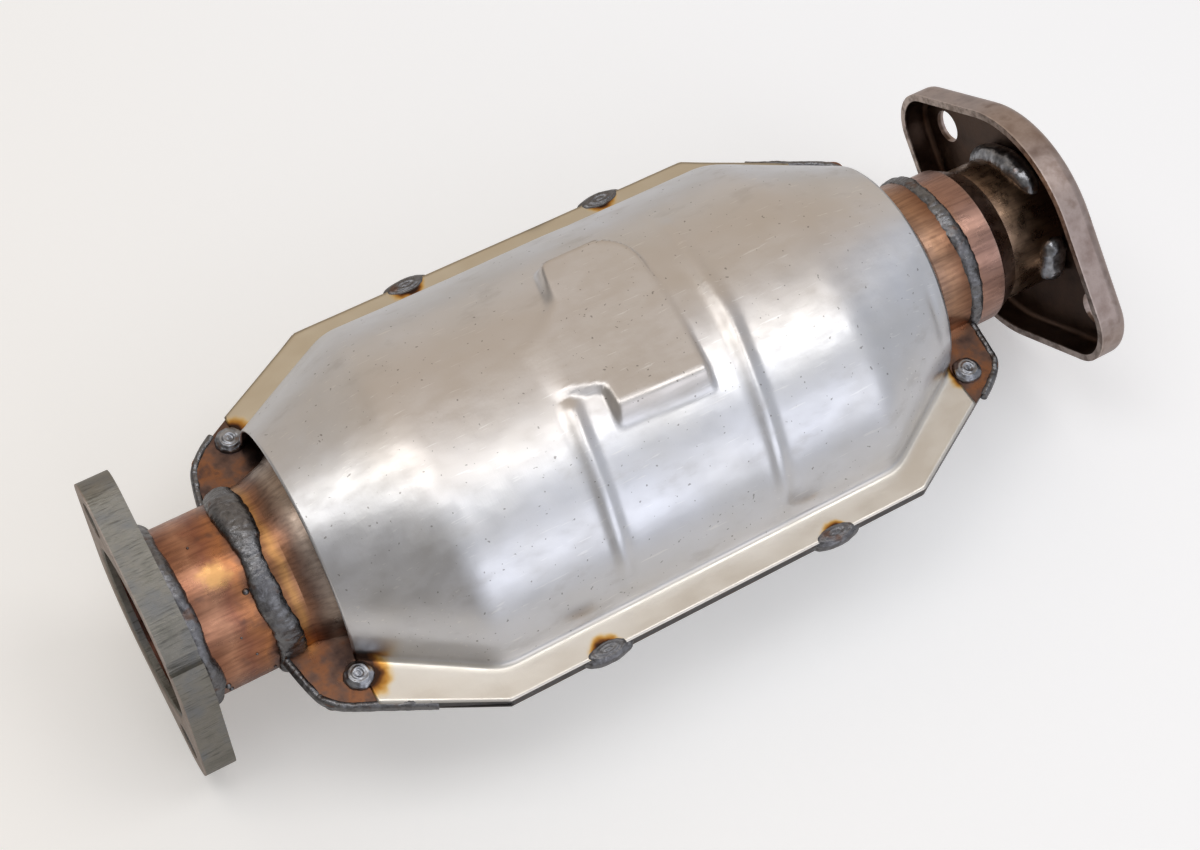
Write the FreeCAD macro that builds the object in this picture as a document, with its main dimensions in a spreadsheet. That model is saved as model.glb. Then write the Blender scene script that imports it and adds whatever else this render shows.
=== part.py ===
import FreeCAD, Part
import math
import os
import Sketcher
from FreeCAD import Placement, Rotation, Vector

# Catalytic converter with bolt-on flanges and a pressed two-part heat shield.
# X runs along the pipes from the inlet flange's face, where the origin lies on the pipe axis.
# Z is normal to the plane in which the two shell halves meet, and +Y is the left side.

doc = FreeCAD.newDocument("catalytic_converter")
sheet = doc.addObject("Spreadsheet::Sheet", "Size")

SIZES = {
    # pipes
    "pipe_od": 50.8,
    "pipe_wall": 1.6,
    "pipe_recess": 2.5,
    "pipe_insert": 12.0,
    "outlet_pipe_od": 44.4,
    "collar_length": 13.3,
    "step_length": 6.5,
    # inlet flange, cut from plate
    "inlet_flange_thickness": 9.5,
    "inlet_bolt_spacing": 72.8,
    "inlet_end_radius": 11.0,
    "inlet_land_width": 5.9,
    "inlet_hole_radius": 5.4,
    "inlet_flange_angle": 50.9,
    "inlet_bore_chamfer": 0.8,
    "notch_width": 4.5,
    "notch_depth": 2.6,
    "socket_clearance": 0.1,
    # outlet flange, pressed from sheet
    "outlet_face_x": 304.3,
    "outlet_bolt_spacing": 80.4,
    "outlet_end_radius": 14.2,
    "outlet_middle_radius": 39.3,
    "outlet_hole_radius": 5.4,
    "outlet_flange_angle": 1.9,
    "rim_depth": 10.5,
    "rim_sheet": 2.2,
    "rim_bend": 4.0,
    "outlet_socket_depth": 1.0,
    # shell halves
    "shell_sheet": 1.2,
    "neck_start": 32.0,
    "neck_end": 264.0,
    "neck_length": 9.5,
    "flare_length": 8.5,
    "flare_radius": 29.2,
    "body_start": 84.5,
    "body_end": 213.0,
    "shell_half_width": 53.6,
    "shell_height": 38.6,
    # side flange, trimmed on shells and shields together
    "flange_half_width": 69.2,
    "flange_corner_start": 80.2,
    "flange_corner_end": 217.6,
    "lug_half_width": 44.4,
    "lug_trim_shift": 1.5,
    "lug_start": 34.9,
    "lug_end": 262.8,
    "lug_slant": 3.4,
    "lug_corner_radius": 3.0,
    # heat shields
    "shield_sheet": 0.6,
    "shield_start": 48.7,
    "shield_end": 247.8,
    "cone_start": 83.2,
    "cone_end": 214.2,
    "shield_side_gap": 5.0,
    "shield_top_gap": 4.0,
    "shield_half_width": "=shell_half_width + shield_side_gap",
    "shield_height": "=shell_height + shield_top_gap",
    "inlet_end_half_width": 38.1,
    "inlet_end_height": 33.8,
    "inlet_end_shift": 2.4,
    "outlet_end_half_width": 37.9,
    "outlet_end_height": 37.4,
    "bead_height": 1.5,
    "bead_crest_rise": 0.5,
    "bead_width": 6.5,
    "bead_fold_gap": 3.0,
    "front_bead_x": 129.0,
    "front_bead_top": 13.0,
    "rear_bead_x": 181.5,
    "bead_lean": 5.5,
    "pad_rise": 0.6,
    "pad_start": 141.5,
    "pad_end": 169.0,
    "pad_left": 29.0,
    "pad_right": 28.9,
    "pad_corner": 9.0,
    "pad_foot_slope": 1.08,
    # welds
    "bead_weld_height": 2.4,
    "inlet_neck_weld_width": 8.6,
    "outlet_neck_weld_width": 5.4,
    "fillet_weld_leg": 4.2,
    "outlet_fillet_leg": 4.4,
    "outlet_weld_angle": 74.0,
    "plug_weld_radius": 4.5,
    "plug_weld_height": 2.4,
    "inlet_plug_gap": 2.2,
    "outlet_plug_gap": 4.0,
    "plug_weld_y": 42.0,
    "edge_weld_length": 16.0,
    "edge_weld_width": 6.8,
    "edge_weld_height": 6.2,
    "right_front_weld_x": 110.4,
    "left_front_weld_x": 118.6,
    "right_rear_weld_x": 186.4,
    "left_rear_weld_x": 187.6,
    # bricks, mats and wire rings
    "brick_length": 56.0,
    "brick_gap": 8.0,
    "mat_thickness": 4.6,
    "mat_clearance": 0.1,
    "seal_length": 5.0,
    "cell_pitch": 8.6,
    "cell_web": 2.2,
    "brick_skin": 1.8,
}

for row, (alias, value) in enumerate(SIZES.items(), start=1):
    sheet.set(f"A{row}", alias)
    sheet.set(f"B{row}", str(value))
    sheet.setAlias(f"B{row}", alias)
doc.recompute()


parts = []


def keep(piece, label):
    piece.Label = label
    parts.append(piece)
    return piece


# ---------------------------------------------------------------- sketch helpers

def new_body(label):
    return keep(doc.addObject("PartDesign::Body", label), label)


def sketch_in(body, name, role, offset=None):
    """A sketch on one of the body's own origin planes, lifted off it by an expression."""
    sketch = body.newObject("Sketcher::SketchObject", name)
    plane = next(f for f in body.Origin.OriginFeatures if f.Role == role)
    sketch.AttachmentSupport = [(plane, "")]
    sketch.MapMode = "FlatFace"
    if offset:
        sketch.setExpression(".AttachmentOffset.Base.z", offset)
    return sketch


def add_constraint(sketch, name, expression, *definition):
    """One named dimension that follows an expression of the sheet."""
    index = sketch.addConstraint(Sketcher.Constraint(*definition))
    sketch.renameConstraint(index, name)
    sketch.setExpression(f"Constraints.{name}", expression)


def value_of(expression):
    """The number that an expression of the sheet gives, to place geometry near its place."""
    return float(sheet.evalExpression(expression))


def add_polygon(sketch, corners):
    """A closed outline whose corners are pairs of expressions."""
    first = sketch.GeometryCount
    points = [Vector(value_of(a), value_of(b), 0) for a, b in corners]
    count = len(points)
    for i in range(count):
        sketch.addGeometry(Part.LineSegment(points[i], points[(i + 1) % count]), False)
    for i in range(count):
        here, after = first + i, first + (i + 1) % count
        sketch.addConstraint(Sketcher.Constraint("Coincident", here, 2, after, 1))
    for i, (a, b) in enumerate(corners):
        point = points[i]
        add_constraint(sketch, f"a{first + i}", a, "DistanceX", -1, 1, first + i, 1, point.x)
        add_constraint(sketch, f"b{first + i}", b, "DistanceY", -1, 1, first + i, 1, point.y)


def add_circle(sketch, radius, across="0"):
    """A circle whose centre lies on the sketch's own X axis."""
    number = sketch.addGeometry(Part.Circle(Vector(value_of(across), 0, 0), Vector(0, 0, 1),
                                            value_of(radius)), False)
    add_constraint(sketch, f"r{number}", radius, "Radius", number, value_of(radius))
    if across == "0":
        sketch.addConstraint(Sketcher.Constraint("Coincident", number, 3, -1, 1))
    else:
        sketch.addConstraint(Sketcher.Constraint("PointOnObject", number, 3, -1))
        add_constraint(sketch, f"c{number}", across, "DistanceX", -1, 1, number, 3,
                       value_of(across))
    return number


def turned(label, corners, sweep="360", body=None):
    """A body turned about the pipe axis from a profile of (x, radius) corners."""
    body = body or new_body(label)
    sketch = sketch_in(body, f"{label}_profile", "XY_Plane")
    add_polygon(sketch, corners)
    revolution = body.newObject("PartDesign::Revolution", f"{label}_turn")
    revolution.Profile = sketch
    revolution.ReferenceAxis = (sketch, ["H_Axis"])
    revolution.setExpression("Angle", sweep)
    return body


# ---------------------------------------------------------------- two-bolt flange outline

def add_flange_outline(sketch, spacing, end_radius, middle_radius):
    """Two end arcs round the bolts, two middle arcs round the bore, and four tangent lines."""
    half = value_of(spacing) / 2
    end = value_of(end_radius)
    middle = value_of(middle_radius)
    lean = math.acos((middle - end) / half)
    axis = Vector(0, 0, 1)

    def arc(x, radius, start, stop):
        circle = Part.Circle(Vector(x, 0, 0), axis, radius)
        return sketch.addGeometry(Part.ArcOfCircle(circle, start, stop), False)

    def line(x0, r0, x1, r1, angle):
        way = Vector(math.cos(angle), math.sin(angle), 0)
        return sketch.addGeometry(Part.LineSegment(Vector(x0, 0, 0) + way * r0,
                                                   Vector(x1, 0, 0) + way * r1), False)

    right = arc(half, end, -lean, lean)
    line_a = line(half, end, 0, middle, lean)
    top = arc(0, middle, lean, math.pi - lean)
    line_b = line(0, middle, -half, end, math.pi - lean)
    left = arc(-half, end, math.pi - lean, math.pi + lean)
    line_c = line(-half, end, 0, middle, math.pi + lean)
    bottom = arc(0, middle, math.pi + lean, 2 * math.pi - lean)
    line_d = line(0, middle, half, end, -lean)
    chain = [right, line_a, top, line_b, left, line_c, bottom, line_d]
    for i, here in enumerate(chain):
        after = chain[(i + 1) % len(chain)]
        sketch.addConstraint(Sketcher.Constraint("Tangent", here, 2, after, 1))
    for middle_arc in (top, bottom):
        sketch.addConstraint(Sketcher.Constraint("Coincident", middle_arc, 3, -1, 1))
    sketch.addConstraint(Sketcher.Constraint("PointOnObject", right, 3, -1))
    add_constraint(sketch, "spacing", spacing, "DistanceX", left, 3, right, 3, 2 * half)
    sketch.addConstraint(Sketcher.Constraint("Symmetric", left, 3, right, 3, -1, 1))
    sketch.addConstraint(Sketcher.Constraint("Equal", right, left))
    sketch.addConstraint(Sketcher.Constraint("Equal", top, bottom))
    add_constraint(sketch, "end_radius", end_radius, "Radius", right, end)
    add_constraint(sketch, "middle_radius", middle_radius, "Radius", top, middle)


# ---------------------------------------------------------------- inlet flange

def add_pad(body, sketch, length, reverse=False):
    pad = body.newObject("PartDesign::Pad", f"{sketch.Name}_pad")
    pad.Profile = sketch
    pad.Reversed = reverse
    pad.setExpression("Length", length)
    return pad


def add_cut(body, sketch, reverse=True):
    cut = body.newObject("PartDesign::Pocket", f"{sketch.Name}_cut")
    cut.Profile = sketch
    cut.Reversed = reverse
    cut.Type = "ThroughAll"
    return cut


inlet_flange = new_body("inlet_flange")
inlet_flange.Placement = Placement(Vector(0, 0, 0), Rotation(Vector(1, 0, 0), 1))
inlet_flange.setExpression(".Placement.Rotation.Angle", "Size.inlet_flange_angle")

outline = sketch_in(inlet_flange, "inlet_flange_outline", "YZ_Plane")
inlet_middle = "(Size.pipe_od / 2 + Size.inlet_land_width)"
add_flange_outline(outline, "Size.inlet_bolt_spacing", "Size.inlet_end_radius", inlet_middle)
add_pad(inlet_flange, outline, "Size.inlet_flange_thickness")

holes = sketch_in(inlet_flange, "inlet_flange_holes", "YZ_Plane")
add_circle(holes, "Size.pipe_od / 2 + Size.socket_clearance")
add_circle(holes, "Size.inlet_hole_radius", "Size.inlet_bolt_spacing / 2")
add_circle(holes, "Size.inlet_hole_radius", "-Size.inlet_bolt_spacing / 2")
add_cut(inlet_flange, holes)

notch = sketch_in(inlet_flange, "inlet_flange_notch", "YZ_Plane")
notch_floor = f"{inlet_middle} - Size.notch_depth"
notch_mouth = f"{inlet_middle} + Size.notch_depth"
add_polygon(notch, [
    ("-Size.notch_width / 2", notch_floor),
    ("Size.notch_width / 2", notch_floor),
    ("Size.notch_width / 2", notch_mouth),
    ("-Size.notch_width / 2", notch_mouth),
])
notch_cut = add_cut(inlet_flange, notch)
doc.recompute()

bore_edges = [
    f"Edge{i}" for i, edge in enumerate(notch_cut.Shape.Edges, start=1)
    if edge.BoundBox.XMax < 0.01 and isinstance(edge.Curve, Part.Circle)
    and edge.Curve.Center.Length < 0.01
    and edge.Curve.Radius < value_of("Size.pipe_od / 2 + 1")
]
bore_chamfer = inlet_flange.newObject("PartDesign::Chamfer", "inlet_flange_bore_chamfer")
bore_chamfer.Base = (notch_cut, bore_edges)
bore_chamfer.setExpression("Size", "Size.inlet_bore_chamfer")

# ---------------------------------------------------------------- pipes

turned("inlet_pipe", [
    ("Size.pipe_recess", "Size.pipe_od / 2 - Size.pipe_wall"),
    ("Size.neck_start + Size.pipe_insert", "Size.pipe_od / 2 - Size.pipe_wall"),
    ("Size.neck_start + Size.pipe_insert", "Size.pipe_od / 2"),
    ("Size.pipe_recess", "Size.pipe_od / 2"),
])

collar_end = "Size.neck_end + Size.collar_length"
step_end = f"{collar_end} + Size.step_length"
pipe_end = "Size.outlet_face_x - Size.outlet_socket_depth"
turned("outlet_pipe", [
    ("Size.neck_end - Size.pipe_insert", "Size.pipe_od / 2 - Size.pipe_wall"),
    (collar_end, "Size.pipe_od / 2 - Size.pipe_wall"),
    (step_end, "Size.outlet_pipe_od / 2 - Size.pipe_wall"),
    (pipe_end, "Size.outlet_pipe_od / 2 - Size.pipe_wall"),
    (pipe_end, "Size.outlet_pipe_od / 2"),
    (step_end, "Size.outlet_pipe_od / 2"),
    (collar_end, "Size.pipe_od / 2"),
    ("Size.neck_end - Size.pipe_insert", "Size.pipe_od / 2"),
])

# ---------------------------------------------------------------- outlet flange

outlet_flange = new_body("outlet_flange")
outlet_flange.Placement = Placement(Vector(0, 0, 0), Rotation(Vector(1, 0, 0), 1))
outlet_flange.setExpression(".Placement.Base.x", "Size.outlet_face_x")
outlet_flange.setExpression(".Placement.Rotation.Angle", "Size.outlet_flange_angle")

blank = sketch_in(outlet_flange, "outlet_flange_outline", "YZ_Plane")
add_flange_outline(blank, "Size.outlet_bolt_spacing", "Size.outlet_end_radius",
                   "Size.outlet_middle_radius")
block = add_pad(outlet_flange, blank, "Size.rim_depth", reverse=True)
doc.recompute()
face_edges = [
    f"Edge{i}" for i, edge in enumerate(block.Shape.Edges, start=1)
    if edge.BoundBox.XMin > -0.01
]
bend = outlet_flange.newObject("PartDesign::Fillet", "outlet_flange_bend")
bend.Base = (block, face_edges)
bend.setExpression("Radius", "Size.rim_bend")

dish = sketch_in(outlet_flange, "outlet_flange_dish", "YZ_Plane", "-Size.rim_sheet")
add_flange_outline(dish, "Size.outlet_bolt_spacing", "Size.outlet_end_radius - Size.rim_sheet",
                   "Size.outlet_middle_radius - Size.rim_sheet")
dish_cut = add_cut(outlet_flange, dish, reverse=False)
doc.recompute()
floor_x = -value_of("Size.rim_sheet")
floor_edges = [
    f"Edge{i}" for i, edge in enumerate(dish_cut.Shape.Edges, start=1)
    if abs(edge.BoundBox.XMin - floor_x) < 0.01 and abs(edge.BoundBox.XMax - floor_x) < 0.01
]
inner_bend = outlet_flange.newObject("PartDesign::Fillet", "outlet_flange_inner_bend")
inner_bend.Base = (dish_cut, floor_edges)
inner_bend.setExpression("Radius", "Size.rim_bend - Size.rim_sheet")

holes = sketch_in(outlet_flange, "outlet_flange_holes", "YZ_Plane")
add_circle(holes, "Size.outlet_pipe_od / 2 + Size.socket_clearance")
add_circle(holes, "Size.outlet_hole_radius", "Size.outlet_bolt_spacing / 2")
add_circle(holes, "Size.outlet_hole_radius", "-Size.outlet_bolt_spacing / 2")
add_cut(outlet_flange, holes, reverse=False)
doc.recompute()

# ---------------------------------------------------------------- pressed halves

def read_sizes():
    """The sheet's values by name, for the pieces that Part's functions shape."""
    return {alias: float(sheet.get(alias)) for alias in SIZES}


D = read_sizes()
WIDE = 400.0


def half_oval(x, shift, half_width, height, base, drop):
    """A closed section across the pipe axis: a half oval over a short upright skirt."""
    arch = Part.Arc(Vector(0, 1, 0), Vector(0, 0, 1), Vector(0, -1, 0)).toShape()
    stretch = FreeCAD.Matrix()
    stretch.scale(1, half_width, height)
    arch = arch.transformGeometry(stretch)
    arch.translate(Vector(x, shift, base))
    left = Vector(x, shift + half_width, base)
    right = Vector(x, shift - half_width, base)
    down = Vector(0, 0, -drop)
    skirt = Part.makePolygon([right, right + down, left + down, left])
    return Part.Wire([arch] + skirt.Edges)


def dome(stations, base, drop, inset=0.0, run_out=0.0):
    """A solid lofted through stations of (x, shift, half width, height), all drawn in by inset.

    run_out carries the two end sections straight on, so that a hollow leaves its ends open."""
    sections = [half_oval(x, shift, half_width - inset, height - inset, base, drop)
                for x, shift, half_width, height in stations]
    if run_out:
        for index, step in ((0, -run_out), (-1, run_out)):
            x, shift, half_width, height = stations[index]
            end = half_oval(x + step, shift, half_width - inset, height - inset, base, drop)
            sections.insert(0 if index == 0 else len(sections), end)
    return Part.makeLoft(sections, True, True)


def plate_between(corners, low, high, rounded=()):
    """A flat plate over an outline, with upright edges near the rounded corners filleted."""
    points = [Vector(x, y, low) for x, y in corners]
    plate = Part.Face(Part.makePolygon(points + points[:1])).extrude(Vector(0, 0, high - low))
    for radius, spots in rounded:
        edges = [edge for edge in plate.Edges
                 if edge.BoundBox.ZLength > (high - low) / 2
                 and any(math.hypot(edge.CenterOfMass.x - x, edge.CenterOfMass.y - y) < 0.01
                         for x, y in spots)]
        plate = plate.makeFillet(radius, edges)
    return plate


def trimmed_outline():
    """The side flange as trimmed on shells and shields together, with its four lugs."""
    shift = D["lug_trim_shift"]
    slant_y = D["pipe_od"] / 2 + D["shell_sheet"]
    left, right = [], []
    for side, row in ((1, left), (-1, right)):
        reach = side * D["lug_half_width"]
        row += [
            (D["neck_start"] - D["lug_slant"] / 4, side * slant_y),
            (D["lug_start"], reach - shift),
            (D["flange_corner_start"], side * D["flange_half_width"]),
            (D["flange_corner_end"], side * D["flange_half_width"]),
            (D["lug_end"], reach + shift / 2),
            (D["neck_end"], side * slant_y),
        ]
    return left + right[::-1]


# The clamshell: necks that grip the pipes, flares, and an oval body round the bricks.

neck_radius = D["pipe_od"] / 2 + D["socket_clearance"] + D["shell_sheet"]
neck_stop = D["neck_start"] + D["neck_length"]
neck_resume = D["neck_end"] - D["neck_length"]
shell_stations = [
    (D["neck_start"], 0, neck_radius, neck_radius),
    (neck_stop, 0, neck_radius, neck_radius),
    (neck_stop + D["flare_length"], 0, D["flare_radius"], D["flare_radius"]),
    (D["body_start"], 0, D["shell_half_width"], D["shell_height"]),
    (D["body_end"], 0, D["shell_half_width"], D["shell_height"]),
    (neck_resume - D["flare_length"], 0, D["flare_radius"], D["flare_radius"]),
    (neck_resume, 0, neck_radius, neck_radius),
    (D["neck_end"], 0, neck_radius, neck_radius),
]
lugged = trimmed_outline()
lug_corners = [lugged[i] for i in (1, 4, 7, 10)]


def shell_half():
    """One pressed half of the shell, its flange's underside in the plane where they meet."""
    flange = plate_between(lugged, 0, D["shell_sheet"], [(D["lug_corner_radius"], lug_corners)])
    outside = dome(shell_stations, 0, 0).fuse(flange)
    hollow = dome(shell_stations, 0, D["shell_sheet"], inset=D["shell_sheet"], run_out=5)
    return outside.cut(hollow).removeSplitter()


upper_shell = keep(doc.addObject("Part::Feature", "upper_shell"), "upper_shell")
upper_shell.Shape = shell_half()
lower_shell = keep(doc.addObject("Part::Mirroring", "lower_shell"), "lower_shell")
lower_shell.Source = upper_shell
lower_shell.Normal = Vector(0, 0, 1)
doc.recompute()

# The heat shields: the same pressing above and below, with two beads and a raised pad.

shield_base = D["shell_sheet"] + D["shield_sheet"]
shield_stations = [
    (D["shield_start"], D["inlet_end_shift"], D["inlet_end_half_width"], D["inlet_end_height"]),
    (D["cone_start"], 0, D["shield_half_width"], D["shield_height"]),
    (D["cone_end"], 0, D["shield_half_width"], D["shield_height"]),
    (D["shield_end"], 0, D["outlet_end_half_width"], D["outlet_end_height"]),
]
crest_z = shield_base + D["shield_height"]
pressed_lean = math.degrees(math.atan(D["bead_lean"] / D["shield_half_width"]))


def prism_along(profile, start, end):
    """A prism along X from a side profile of (y, z) corners, leaning as the beads do."""
    corners = [Vector(start, y, z) for y, z in profile]
    prism = Part.Face(Part.makePolygon(corners + corners[:1])).extrude(Vector(end - start, 0, 0))
    prism.rotate(Vector((start + end) / 2, 0, 0), Vector(0, 0, 1), -pressed_lean)
    return prism


def bead(x, right_y, left_y, inset):
    """A straight bead across the dome; its top is flat where it crosses the crest."""
    low = D["shield_height"] * 0.2
    high = crest_z + D["bead_crest_rise"] - inset
    profile = [(left_y - inset, low), (left_y - inset, high),
               (right_y + inset, high), (right_y + inset, low)]
    half = D["bead_width"] / 2 - inset
    height = D["bead_height"]
    raised = [(x, shift, half_width + height, rise + height)
              for x, shift, half_width, rise in shield_stations[1:3]]
    return dome(raised, shield_base, 0, inset=inset).common(
        prism_along(profile, x - half, x + half))


def raised_pad(inset):
    """The flat pad, level with the crest: its foot slopes, and its head's corners are round."""
    low, high = D["shield_height"] / 2, crest_z + D["pad_rise"] - inset
    left_y, right_y = D["pad_left"] - inset, -D["pad_right"] + inset
    foot_z = shield_base + D["shield_height"] * math.sqrt(
        1 - (D["pad_right"] / D["shield_half_width"]) ** 2)
    slope = D["pad_foot_slope"]
    profile = [(left_y, low), (left_y, high),
               (right_y + slope * (high - foot_z), high), (right_y + slope * (low - foot_z), low)]
    prism = prism_along(profile, D["pad_start"] + inset, D["pad_end"] - inset)
    farthest = sorted((edge for edge in prism.Edges if edge.BoundBox.ZLength > 1),
                      key=lambda edge: edge.BoundBox.YMin)[-2:]
    return prism.makeFillet(D["pad_corner"] - inset, farthest)


def pressed_shapes(inset):
    """The two beads and the pad, or the hollows one sheet thickness inside them."""
    fold = D["shield_half_width"] - D["bead_fold_gap"]
    front = bead(D["front_bead_x"], -fold, -D["front_bead_top"], inset)
    rear = bead(D["rear_bead_x"], -fold, fold, inset)
    return [front, rear, raised_pad(inset)]


def shield_flange():
    """The shield's flange: the trimmed outline, cut square where the shield ends."""
    start, end = D["shield_start"], D["shield_end"]
    flange = plate_between(lugged, D["shell_sheet"], shield_base)
    window = Part.makeBox(end - start, WIDE, WIDE, Vector(start, -WIDE / 2, -WIDE / 2))
    return flange.common(window)


def shield_half():
    """Plain sheet first, then each pressed shape is added whole and hollowed in turn."""
    sheet, overrun = D["shield_sheet"], 5
    hollow = dome(shield_stations, shield_base, 2 * sheet, inset=sheet, run_out=overrun)
    shield = dome(shield_stations, shield_base, sheet).fuse(shield_flange()).cut(hollow)
    for shape in pressed_shapes(0):
        shield = shield.fuse(shape)
    for inside in [hollow] + pressed_shapes(sheet):
        shield = shield.cut(inside)
    return shield.removeSplitter()


upper_heat_shield = keep(doc.addObject("Part::Feature", "upper_heat_shield"), "upper_heat_shield")
upper_heat_shield.Shape = shield_half()
lower_heat_shield = keep(doc.addObject("Part::Mirroring", "lower_heat_shield"),
                         "lower_heat_shield")
lower_heat_shield.Source = upper_heat_shield
lower_heat_shield.Normal = Vector(0, 0, 1)
doc.recompute()

# ---------------------------------------------------------------- bricks, mats and wire rings

ACROSS = Rotation(Vector(0, 1, 0), Vector(0, 0, 1), Vector(1, 0, 0), "XYZ")


def oval_block(name, start, length, inset):
    """An oval block across the body, drawn in by inset from the shell's inside."""
    oval = doc.addObject("Part::Ellipse", f"{name}_oval")
    inside = f"- Size.shell_sheet - Size.mat_clearance - ({inset})"
    oval.Placement = Placement(Vector(0, 0, 0), ACROSS)
    oval.setExpression("MajorRadius", f"Size.shell_half_width {inside}")
    oval.setExpression("MinorRadius", f"Size.shell_height {inside}")
    oval.setExpression(".Placement.Base.x", start)
    block = doc.addObject("Part::Extrusion", name)
    block.Base = oval
    block.DirMode = "Custom"
    block.Dir = Vector(1, 0, 0)
    block.Solid = True
    block.setExpression("LengthFwd", length)
    return block


def difference(name, base, tool):
    cut = doc.addObject("Part::Cut", name)
    cut.Base = base
    cut.Tool = tool
    return cut


def oval_ring(label, start, length, thickness):
    outside = oval_block(f"{label}_outside", start, length, "0")
    inside = oval_block(f"{label}_inside", start, length, thickness)
    return keep(difference(label, outside, inside), label)


def honeycomb_cells(start, length):
    """Square through channels on a grid, as far as the brick's skin allows."""
    pitch, opening = D["cell_pitch"], D["cell_pitch"] - D["cell_web"]
    inset = D["shell_sheet"] + D["mat_clearance"] + D["mat_thickness"] + D["brick_skin"]
    half_width = D["shell_half_width"] - inset
    half_height = D["shell_height"] - inset
    columns, rows = int(half_width / pitch), int(half_height / pitch)
    cells = []
    for row in range(-rows, rows + 1):
        for column in range(-columns, columns + 1):
            far_y = (abs(column) * pitch + opening / 2) / half_width
            far_z = (abs(row) * pitch + opening / 2) / half_height
            if far_y ** 2 + far_z ** 2 < 1:
                corner = Vector(start, column * pitch - opening / 2, row * pitch - opening / 2)
                cells.append(Part.makeBox(length, opening, opening, corner))
    return Part.makeCompound(cells)


middle = "(Size.body_start + Size.body_end) / 2"
front_start = f"{middle} - Size.brick_gap / 2 - Size.brick_length"
rear_start = f"{middle} + Size.brick_gap / 2"
for label, start in (("front_brick", front_start), ("rear_brick", rear_start)):
    cells = doc.addObject("Part::Feature", f"{label}_cells")
    cells.Shape = honeycomb_cells(value_of(start), D["brick_length"])
    block = oval_block(f"{label}_block", start, "Size.brick_length", "Size.mat_thickness")
    keep(difference(label, block, cells), label)

mat_length = "Size.brick_length - Size.seal_length"
oval_ring("front_mat", f"{front_start} + Size.seal_length", mat_length, "Size.mat_thickness")
oval_ring("rear_mat", rear_start, mat_length, "Size.mat_thickness")
oval_ring("front_mesh_seal", front_start, "Size.seal_length", "Size.mat_thickness")
oval_ring("rear_mesh_seal", f"{rear_start} + {mat_length}", "Size.seal_length",
          "Size.mat_thickness")
oval_ring("brick_spacer_ring", f"{middle} - Size.brick_gap / 2", "Size.brick_gap",
          "Size.mat_thickness + Size.brick_skin")

# ---------------------------------------------------------------- welds

turned("inlet_flange_weld", [
    ("Size.inlet_flange_thickness", "Size.pipe_od / 2"),
    ("Size.inlet_flange_thickness + Size.fillet_weld_leg", "Size.pipe_od / 2"),
    ("Size.inlet_flange_thickness + Size.fillet_weld_leg * 0.45",
     "Size.pipe_od / 2 + Size.fillet_weld_leg * 0.45"),
    ("Size.inlet_flange_thickness", "Size.pipe_od / 2 + Size.fillet_weld_leg"),
])


def neck_weld(label, neck, side, width):
    """A ring over the neck's end: it lies on the pipe on one side and on the neck on the other."""
    pipe = "Size.pipe_od / 2"
    in_sheet = "Size.pipe_od / 2 + Size.socket_clearance + Size.shell_sheet / 2"
    crown = (f"Size.pipe_od / 2 + Size.socket_clearance + Size.shell_sheet"
             f" + Size.bead_weld_height")
    shoulder = f"{pipe} + Size.bead_weld_height"
    outer, inner = f"{neck} - {side} * {width} * 0.25", f"{neck} + {side} * {width} * 0.75"
    ring = turned(f"{label}_ring", body=doc.addObject("PartDesign::Body", f"{label}_ring"),
                  corners=[
        (outer, pipe),
        (f"{neck} - {side} * {width} * 0.12", shoulder),
        (f"{neck} + {side} * {width} * 0.12", crown),
        (f"{neck} + {side} * {width} * 0.5", crown),
        (inner, in_sheet),
        (neck, in_sheet),
        (neck, pipe),
    ])
    return keep(difference(label, ring, both_shells), label)


both_shells = doc.addObject("Part::Compound", "both_shells")
both_shells.Links = [upper_shell, lower_shell]
neck_weld("inlet_neck_weld", "Size.neck_start", "1", "Size.inlet_neck_weld_width")
neck_weld("outlet_neck_weld", "Size.neck_end", "-1", "Size.outlet_neck_weld_width")
doc.recompute()

inner_face = "Size.outlet_face_x - Size.rim_sheet"
weld_starts = (("outlet_flange_left_weld", 12.0), ("outlet_flange_right_weld", 147.0),
               ("outlet_flange_under_weld", 252.0))
for label, start_angle in weld_starts:
    segment = turned(label, [
        (inner_face, "Size.outlet_pipe_od / 2"),
        (f"{inner_face} - Size.outlet_fillet_leg", "Size.outlet_pipe_od / 2"),
        (f"{inner_face} - Size.outlet_fillet_leg * 0.45",
         "Size.outlet_pipe_od / 2 + Size.outlet_fillet_leg * 0.45"),
        (inner_face, "Size.outlet_pipe_od / 2 + Size.outlet_fillet_leg"),
    ], sweep="Size.outlet_weld_angle")
    segment.Placement = Placement(Vector(0, 0, 0), Rotation(Vector(1, 0, 0), start_angle))


flange_stack = doc.addObject("Part::Box", "flange_stack")
stack_height = "(Size.shell_sheet + Size.shield_sheet)"
for name, expression in (
        ("Length", "Size.shield_end - Size.shield_start"),
        ("Width", "2 * Size.flange_half_width"),
        ("Height", f"2 * {stack_height}"),
        (".Placement.Base.x", "Size.shield_start"),
        (".Placement.Base.y", "-Size.flange_half_width"),
        (".Placement.Base.z", f"-{stack_height}")):
    flange_stack.setExpression(name, expression)


def puddle(label, semi_axes, centre, span):
    """A weld as an ellipsoid, cut where the flanges of shells and shields fill it."""
    blob = doc.addObject("Part::Ellipsoid", f"{label}_blob")
    blob.Angle1, blob.Angle2 = span
    seam_outward = 90 if centre[1][0] != "-" else -90
    blob.Placement = Placement(Vector(0, 0, 0), Rotation(Vector(0, 0, 1), seam_outward))
    for name, expression in zip(("Radius3", "Radius2", "Radius1"), semi_axes):
        blob.setExpression(name, expression)
    for name, expression in zip("xyz", centre):
        blob.setExpression(f".Placement.Base.{name}", expression)
    return keep(difference(label, blob, flange_stack), label)


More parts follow.
